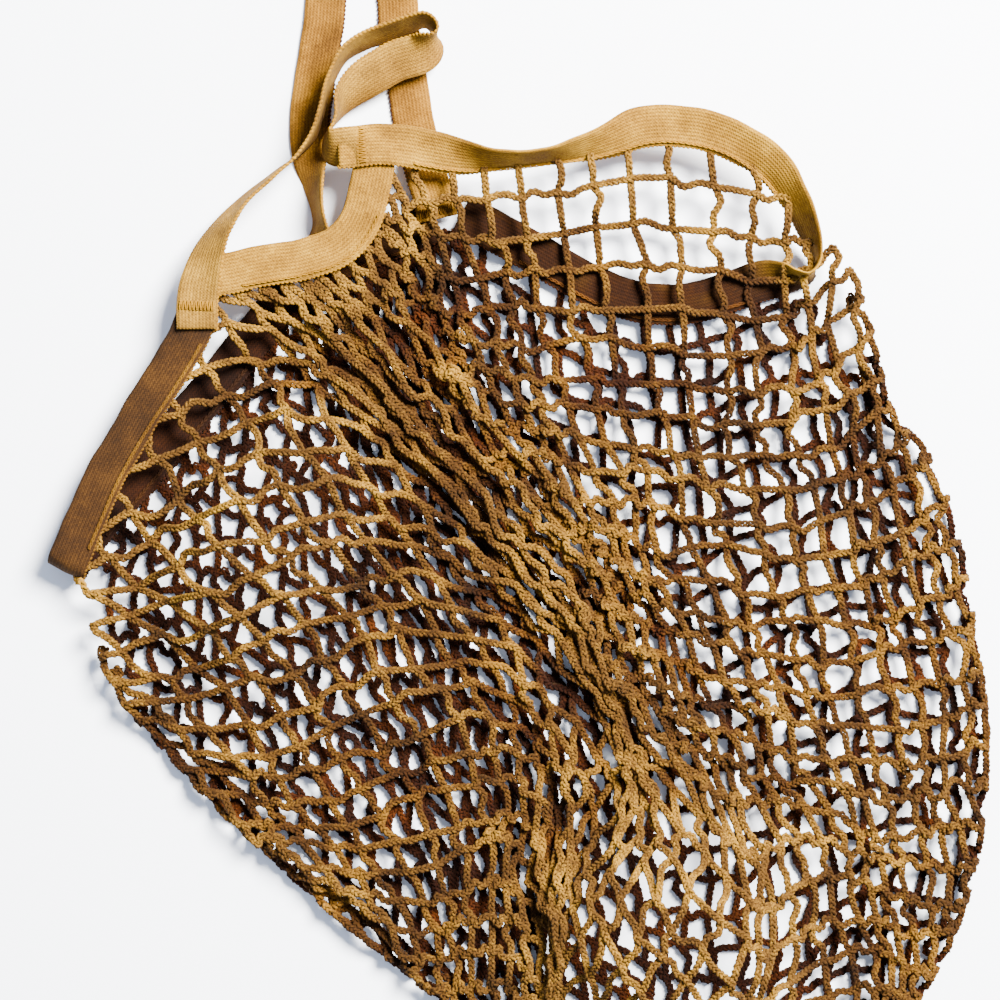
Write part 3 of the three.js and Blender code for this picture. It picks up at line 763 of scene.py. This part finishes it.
OUTLINE_PLACES = [
    (-152, 12), (-143, -16), (-138, -31), (-128, -62), (-107, -88), (-78, -117), (-52, -140), (-30, -158),
    (-2, -180), (34, -198), (70, -203), (107, -193), (140, -166), (158, -125), (162, -80),
    (157, -36), (149, 0), (141, 16), (132, 26), (127, 40), (123, 57), (117, 74), (109, 87), (106, 100),
]
OUTLINE = catmull_rom(OUTLINE_PLACES, np.linspace(0, len(OUTLINE_PLACES) - 1, 300))
OUTLINE_AHEAD = unit(np.gradient(OUTLINE, axis=0))
EDGE_RISE = 16.0              # width of the slope by which the front net climbs in from the outline
MANGO_PLACE = {"cx": -76, "cy": -8, "long": 60, "short": 38, "turn": 0.9, "high": 20}
ORANGE_PLACE = {"cx": 60, "cy": -146, "long": 58, "short": 54, "turn": 0, "high": 26}
BACK_NET_Z = 1.5
TURN_RADIUS = 2.5             # of the front net's edge where it turns under
LOW_NET_Z = BACK_NET_Z + 2 * TURN_RADIUS
COLUMNS = range(-24, 21)
LAST_ROW = 42
FRONT_ROWS = [0, 9, 14, 18, 22, 26, 31, LAST_ROW]   # where the layer is parted into pieces
BACK_ROWS = [0, 8, 13, 18, 23, LAST_ROW]
FRONT_REACH = 11.0            # how far the front net goes on past the outline, round and under
BACK_REACH = -2.0             # the back net stops inside the outline
FRONT_SEED = 11
BACK_SEED = 21
MAP_SLACK = 0.3               # how freely a map may miss its known places
RIM_ROWS = 3.0                # rows over which the net leaves the shape of its rim
KNOT_WANDER = 1.9
WANDER_SIZE = 15
NET_WAVES = ((1.4, 16, 24), (1.0, 17, 11))          # height, seed and size of each
KNOT_STEP = 0.4               # half the height between the two cords that cross at a knot
PLEAT_HEIGHT = 2.8
CELLS_PER_PLEAT = 5.0
PLEAT_START = 13.0            # distance between two neighbouring knots where pleats begin
PLEAT_FULL = 6.0              # and where they are full
PLEAT_DRIFT = 1.6
SLACK = (1.02, 1.17)          # length of a cord, in straight lines between its knots
BOW = 0.1                     # how far a cord starts off bent sideways, as a share of its length
ROUNDS = 200                  # of settling
STRAIGHTENING = 0.08          # how far a cord straightens in a round
HOMING = 0.07                 # how far a knot is drawn back to its place in a round
BUCKLED = 0.6                 # spare length, as a share, at which a cord humps fully
HUMPS = (-0.6, 2.0)           # lowest and highest hump of such a cord
SHORTEST_SPAN = 3.0
PLACES_PER_POINT = 4
BACK_RELIEF = 0.2             # share of its ups and downs that the back net keeps
CORD_CLEARANCE = 0.3          # under the cord, for the noise in its yarns


class PlaneMap:
    """A smooth map from knot numbers to places in plan, bent as little as its known places allow."""

    def __init__(self, places):
        self.knots = np.array(list(places), float)
        known = np.array(list(places.values()), float)
        count = len(known)
        flat = np.column_stack([np.ones(count), self.knots])
        system = np.zeros((count + 3, count + 3))
        system[:count, :count] = self.bend(self.knots) + MAP_SLACK * np.eye(count)
        system[:count, count:] = flat
        system[count:, :count] = flat.T
        self.weights = np.linalg.solve(system, np.vstack([known, np.zeros((3, 2))]))

    def bend(self, knots):
        gap = np.linalg.norm(knots[:, None] - self.knots[None], axis=2)
        return gap**2 * np.log(np.maximum(gap, 1e-9))

    def __call__(self, knots):
        return np.column_stack([self.bend(knots), np.ones(len(knots)), knots]) @ self.weights


def swelling(xy, place):
    """The rounded swelling that produce leaves in the net, over an ellipse with a flat middle."""
    d = xy - (place["cx"], place["cy"])
    cos, sin = math.cos(place["turn"]), math.sin(place["turn"])
    a = (d[:, 0] * cos + d[:, 1] * sin) / place["long"]
    b = (d[:, 1] * cos - d[:, 0] * sin) / place["short"]
    return place["high"] * smooth(1.25 * (1 - np.hypot(a, b)))


def soft_noise(xy, seed, size):
    """A smooth seeded wobble in plan, about 1 in height, that varies over size millimetres."""
    r = np.random.default_rng(seed)
    total = np.zeros((len(xy), 2))
    for _ in range(7):
        direction = r.normal(size=(2, 2)) / size
        phase = r.uniform(0, 2 * math.pi, 2)
        total += np.sin(xy @ direction * 2 + phase)
    return total / 3.0


def beyond_outline(xy):
    """How far each place lies outside the outline (negative inside), and its nearest outline point."""
    gap = np.linalg.norm(xy[:, None] - OUTLINE[None], axis=2)
    near = np.argmin(gap, axis=1)
    d = xy - OUTLINE[near]
    ahead = OUTLINE_AHEAD[near]
    outside = d[:, 1] * ahead[:, 0] - d[:, 0] * ahead[:, 1] < 0
    at_end = (near == 0) | (near == len(OUTLINE) - 1)
    distance = np.min(gap, axis=1)
    return np.where(outside & ~at_end, distance, -distance), near


def front_height(xy, rim_share):
    """The front net is high along its rim and on the swellings, and low where nothing lifts it."""
    distance, _ = beyond_outline(xy)
    inner = smooth(-distance / EDGE_RISE)
    wave = sum(height * soft_noise(xy, seed, size)[:, 0] for height, seed, size in NET_WAVES)
    lifted = swelling(xy, MANGO_PLACE) + swelling(xy, ORANGE_PLACE) + wave * (1 - rim_share)
    return LOW_NET_Z + (FRONT_NET_Z - LOW_NET_Z) * rim_share + lifted * np.maximum(inner, rim_share)


def turn_under(line):
    """Turns the part of a front cord that lies beyond the outline round and under the bag."""
    distance, near = beyond_outline(line[:, :2])
    ahead = OUTLINE_AHEAD[near]
    outwards = np.column_stack([ahead[:, 1], -ahead[:, 0]])
    angle = distance / TURN_RADIUS
    round_edge = (distance > 0) & (angle < math.pi)
    under = angle >= math.pi
    reach = np.where(round_edge, TURN_RADIUS * np.sin(angle), math.pi * TURN_RADIUS - distance)
    drop = np.where(round_edge, TURN_RADIUS * (1 - np.cos(angle)), 2 * TURN_RADIUS)
    moved = round_edge | under
    line[moved, :2] = (OUTLINE[near] + outwards * reach[:, None])[moved]
    line[moved, 2] -= drop[moved]


class Net:
    """One layer of net: its knots, the cords between them, and where all of it settles."""

    def __init__(self, places, last_column, reach, seed):
        self.last_column = last_column
        numbers = [(p, q) for p in COLUMNS for q in range(self.rim(p), LAST_ROW + 1)]
        at = PlaneMap(places)(np.array(numbers, float))
        beyond, _ = beyond_outline(at)
        kept = beyond < reach
        self.numbers = [number for number, keep in zip(numbers, kept) if keep]
        self.index = {number: n for n, number in enumerate(self.numbers)}
        self.knots = at[kept]
        down = np.array([q - self.rim(p) for p, q in self.numbers])
        self.rim_share = 1 - smooth(down / RIM_ROWS)
        wander = KNOT_WANDER * soft_noise(self.knots, seed, WANDER_SIZE)
        self.knots += wander * (1 - self.rim_share)[:, None]
        self.fixed = down == 0
        self.pleat = self.pleats(places) * (1 - self.rim_share)
        self.make_links()
        self.settle(seed)

    def pleats(self, places):
        """Up and down of the bundles of cords that the net folds into where it is drawn together."""
        numbers = np.array(self.numbers, float)
        beside = PlaneMap(places)(numbers + (1, -1)) - PlaneMap(places)(numbers)
        spare = PLEAT_START - np.linalg.norm(beside, axis=1)
        drawn = smooth(spare / (PLEAT_START - PLEAT_FULL))
        turn = (numbers[:, 0] - numbers[:, 1]) / CELLS_PER_PLEAT * 2 * math.pi
        drift = soft_noise(self.knots, 31, 45)[:, 0]
        return PLEAT_HEIGHT * drawn * np.sin(turn + PLEAT_DRIFT * drift)

    def rim(self, p):
        """The first knot of a column."""
        return max(0, -p, p - self.last_column)

    def make_links(self):
        """A cord runs from each knot to the next one across and to the next one down."""
        self.links = []
        for p, q in self.numbers:
            along_band = q == 0 and p >= 0
            if (p + 1, q) in self.index and not along_band:
                self.links.append(((p, q), (p + 1, q)))
            if (p, q + 1) in self.index:
                self.links.append(((p, q), (p, q + 1)))
        self.link_index = {link: n for n, link in enumerate(self.links)}

    def settle(self, seed):
        """Lets cords of a set length find their places: two loose points on each cord."""
        r = np.random.default_rng(seed + 1)
        a = np.array([self.index[link[0]] for link in self.links])
        b = np.array([self.index[link[1]] for link in self.links])
        home = self.knots.copy()
        span = home[b] - home[a]
        length = np.linalg.norm(span, axis=1)
        wanted = np.maximum(length * r.uniform(*SLACK, len(length)), SHORTEST_CORD)
        rest = (wanted / 3)[:, None]
        aside = np.column_stack([-span[:, 1], span[:, 0]]) / np.maximum(length, 1e-6)[:, None]
        bow = (BOW * length * r.normal(size=len(length)))[:, None] * aside
        knot = home.copy()
        one = home[a] + span / 3 + bow
        two = home[a] + span * 2 / 3 + bow * r.uniform(-0.4, 1.0, (len(length), 1))
        free = ~self.fixed
        for _ in range(ROUNDS):
            push = np.zeros_like(knot)
            weight = np.zeros(len(knot))
            for near, far in ((a, one), (b, two)):
                d = far - knot[near]
                fix = unit(d) * (np.linalg.norm(d, axis=1)[:, None] - rest) * 0.5
                far -= fix
                np.add.at(push, near, fix)
                np.add.at(weight, near, 1)
            d = two - one
            fix = unit(d) * (np.linalg.norm(d, axis=1)[:, None] - rest) * 0.5
            one += fix
            two -= fix
            straight_one = (knot[a] + two) / 2
            straight_two = (knot[b] + one) / 2
            one += STRAIGHTENING * (straight_one - one)
            two += STRAIGHTENING * (straight_two - two)
            knot[free] += (push / np.maximum(weight, 1)[:, None])[free]
            knot[free] += HOMING * (home - knot)[free]
        loose = smooth((wanted / np.maximum(length, SHORTEST_SPAN) - 1.0) / BUCKLED)
        self.knots, self.one, self.two = knot, one, two
        self.hump = loose[:, None] * r.uniform(*HUMPS, (len(length), 2))

    def cord(self, numbers, step):
        """A smooth line through a run of knots and the loose points between them."""
        points, rims = [], []
        for here, ahead in zip(numbers, numbers[1:]):
            n = self.link_index[(here, ahead)]
            share = self.rim_share[self.index[here]]
            knot = self.knots[self.index[here]]
            near, far = self.pleat[self.index[here]], self.pleat[self.index[ahead]]
            points += [
                (*knot, near + step),
                (*self.one[n], near * 2 / 3 + far / 3 + self.hump[n, 0]),
                (*self.two[n], near / 3 + far * 2 / 3 + self.hump[n, 1]),
            ]
            rims += [share] * 3
        end = self.index[numbers[-1]]
        points.append((*self.knots[end], self.pleat[end] + step))
        rims.append(self.rim_share[end])
        places = np.linspace(0, len(points) - 1, PLACES_PER_POINT * len(points))
        line = catmull_rom(points, places)
        return line, np.interp(places, range(len(rims)), rims)

    def runs(self, first, last):
        """Runs of linked knots in rows first to last: across (before row last), then down."""
        found = []
        for q in range(first, last):
            found += self.unbroken([(p, q) for p in COLUMNS], KNOT_STEP)
        for p in COLUMNS:
            found += self.unbroken([(p, q) for q in range(first, last + 1)], -KNOT_STEP)
        return found

    def unbroken(self, numbers, step):
        """Splits a row or column of knots wherever two neighbours aren't linked."""
        found, run = [], numbers[:1]
        for here, ahead in zip(numbers, numbers[1:]):
            if (here, ahead) in self.link_index:
                run.append(ahead)
            else:
                found.append((run, step))
                run = [ahead]
        found.append((run, step))
        return [(run, step) for run, step in found if len(run) > 1]


def make_net(name, net, row_breaks, on_front):
    """The layer as a few pieces, each some rows, and the flat size of the net that is in each."""
    lowest = STRAND_RADIUS + STRAND_HALF_HEIGHT + CORD_CLEARANCE
    made = []
    for i, (first, last) in enumerate(zip(row_breaks, row_breaks[1:])):
        lines, links = [], 0
        for run, step in net.runs(first, last):
            line, rim_share = net.cord(run, step)
            if on_front:
                line[:, 2] += front_height(line[:, :2], rim_share)
                turn_under(line)
            else:
                line[:, 2] = BACK_RELIEF * line[:, 2] + BACK_NET_Z
            line[:, 2] = np.maximum(line[:, 2], lowest)
            lines.append(line)
            links += len(run) - 1
        rows = last - first
        cells = links / 2     # every cell has two cords of its own and shares the other two
        made.append((
            grown(f"{name}_{i + 1}", lines, BRAID, NET_YARN),
            (cells / rows * CELL * MM, rows * CELL * MM),
        ))
    return made


# ---------------------------------------------------------------- seams and bar tacks
SEAM_INSET = 1.9              # from the tape's edge
SEAM_LIFT = 0.25              # above the tape's face
SEAM_PLACES = 10              # for each station
TACK_STITCHES = 19
TACK_WIDTH = 11.0             # across the tape
STITCH_REACH = 1.5            # half the length of a stitch
STITCH_SWAY = 0.15
STITCH_LIFT = 0.75
STITCH_ARCH = 0.35


def seam_line(path, first, last, face):
    """The line of a seam on one face of a tape, near its net side."""
    places = np.linspace(first, last, int((last - first) * SEAM_PLACES))
    at, along, across, normal = path.frame(places)
    inwards = across * (TAPE_WIDTH / 2 - SEAM_INSET)
    return at - inwards + normal * face * (TAPE_THICKNESS / 2 + SEAM_LIFT)


SEAM_SIZES = {
    "Roughness": 0.2 * MM,
    "Yarn radius": 0.26 * MM,
    "Half width": 0.4 * MM,
    "Half height": 0.16 * MM,
    "Braid length": 6.0 * MM,
    "Step": 0.6 * MM,
    "Sides": 5,
}
SEAMS = {
    "left_band_front_seam": (LEFT_BAND, 0.7, 5.5, -1, SHADED_THREAD),
    "left_band_back_seam": (LEFT_BAND, 11, 14, 1, SHADED_THREAD),
    "right_band_front_seam": (RIGHT_BAND, 1.4, 9.6, 1, THREAD),
    "right_band_back_seam": (RIGHT_BAND, 16.5, 20.6, -1, THREAD),
    "front_gather_seam": (FRONT_GATHER, 0.6, 4.3, 1, THREAD),
    "back_gather_seam": (BACK_GATHER, 0.9, 2.1, 1, THREAD),
}
TACKS = {
    "front_left_bar_tack": (FRONT_HANDLE, 0.8),
    "front_right_bar_tack": (RIGHT_BAND, 0.4),
    "back_left_bar_tack": (BACK_HANDLE, 0.3),
    "back_right_bar_tack": (BACK_HANDLE, 16.8),
}


def tack_lines(path, place):
    """Close satin stitches across a tape, all on top of it."""
    at, along, across, normal = (x[0] for x in path.frame([place]))
    up = normal if normal[2] > 0 else -normal
    lines = []
    for i in range(TACK_STITCHES):
        side = (i / (TACK_STITCHES - 1) - 0.5) * TACK_WIDTH
        sway = STITCH_SWAY * (-1) ** i
        stitch = []
        for t in np.linspace(-1, 1, 7):
            height = STITCH_LIFT + STITCH_ARCH * (1 - t * t)
            stitch.append(at + across * (side + sway * t) + along * t * STITCH_REACH + up * height)
        lines.append(np.array(stitch))
    return lines


TACK_SIZES = {
    "Roughness": 0.1 * MM,
    "Yarn radius": 0.22 * MM,
    "Half width": 0.05 * MM,
    "Half height": 0.05 * MM,
    "Braid length": 3.0 * MM,
    "Step": 0.5 * MM,
    "Sides": 5,
}


# ---------------------------------------------------------------- assembly
front_net = Net(FRONT_PLACES, FRONT_RIGHT_COLUMN, FRONT_REACH, FRONT_SEED)
back_net = Net(BACK_PLACES, BACK_RIGHT_COLUMN, BACK_REACH, BACK_SEED)
front_pieces = make_net("net_front_knit", front_net, FRONT_ROWS, True)
back_pieces = make_net("net_back_knit", back_net, BACK_ROWS, False)
for pieces, node in ((front_pieces, "net_front_panel"), (back_pieces, "net_back_panel")):
    for piece, flat in pieces:
        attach(piece, "bag")
    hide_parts(node)

TAPES = {
    "left_mouth_tape": (LEFT_BAND, SHADED_BAND_CLOTH, SHADED_THREAD, -1, ["left_mouth_band"], "folded"),
    "right_mouth_tape": (RIGHT_BAND, BAND_CLOTH, THREAD, -1, ["right_mouth_band"], "folded"),
    "front_gather_band": (FRONT_GATHER, BAND_CLOTH, THREAD, -1, ["front_gather_tape"], "laid"),
    "back_gather_band": (BACK_GATHER, BAND_CLOTH, THREAD, -1, ["back_gather_tape"], "laid"),
    "front_handle_tape": (
        FRONT_HANDLE, HANDLE_CLOTH, THREAD, 1,
        ["front_handle_left_root", "front_handle_loop", "front_handle_right_root"], "laid",
    ),
    "back_handle_tape": (
        BACK_HANDLE, HANDLE_CLOTH, THREAD, 1,
        ["back_handle_left_root", "back_handle_loop", "back_handle_right_root"], "laid",
    ),
}
HANDLE_BENDS = {
    "front_handle_tape": ("front_handle", FRONT_HINGE, FRONT_BEND),
    "back_handle_tape": ("back_handle", BACK_HINGE, BACK_BEND),
}
FIRST_TAPE_SEED = 40
for seed, (name, settings) in enumerate(TAPES.items(), start=FIRST_TAPE_SEED):
    path, cloth, thread, looped_side, nodes, held = settings
    tape, beads, length = make_tape(name, path, cloth, thread, looped_side, seed)
    for piece in (tape, beads):
        if name in HANDLE_BENDS:
            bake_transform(piece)
        else:
            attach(piece, "bag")
    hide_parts(*nodes)

for name, (path, first, last, face, thread) in SEAMS.items():
    seam = grown(name + "_stitches", [seam_line(path, first, last, face)], BRAID, thread, SEAM_SIZES)
    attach(seam, "bag")
    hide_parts(name)
for name, (path, place) in TACKS.items():
    tack = grown(name + "_stitches", tack_lines(path, place), BRAID, THREAD, TACK_SIZES)
    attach(tack, "bag")
    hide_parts(name)


# ---------------------------------------------------------------- studio
def studio():
    """A plain pale floor, soft light from the upper right and a camera looking straight down."""
    bpy.ops.mesh.primitive_plane_add(size=FLOOR_WIDTH, location=(0, 0, TABLE))
    floor = bpy.context.object
    floor.name = "studio_floor"
    material = bpy.data.materials.new("matt white studio floor")
    material.use_nodes = True
    shader = material.node_tree.nodes["Principled BSDF"]
    shader.inputs["Base Color"].default_value = hex_color("F4F6FA")
    shader.inputs["Roughness"].default_value = 0.9
    floor.data.materials.append(material)

    world = bpy.data.worlds.new("soft surround")
    world.use_nodes = True
    world.node_tree.nodes["Background"].inputs["Color"].default_value = hex_color("D6E4FF")
    world.node_tree.nodes["Background"].inputs["Strength"].default_value = 1.1
    bpy.context.scene.world = world

    lamp = bpy.data.lights.new("window light", "AREA")
    lamp.shape = "DISK"
    lamp.size = LAMP_WIDTH
    lamp.energy = LAMP_POWER
    lamp.color = (1.0, 0.985, 0.96)
    holder = bpy.data.objects.new("window light", lamp)
    holder.location = LAMP_PLACE
    aim = Vector((0, 0, 0)) - holder.location
    holder.rotation_euler = aim.to_track_quat("-Z", "Y").to_euler()
    bpy.context.scene.collection.objects.link(holder)

    lens = bpy.data.cameras.new("camera")
    lens.sensor_width = SENSOR
    lens.lens = SENSOR * CAMERA_HEIGHT / VIEW_WIDTH
    lens.clip_start = 0.01
    camera = bpy.data.objects.new("camera", lens)
    camera.location = (0, 0, CAMERA_HEIGHT * MM)
    bpy.context.scene.collection.objects.link(camera)
    bpy.context.scene.camera = camera


studio()
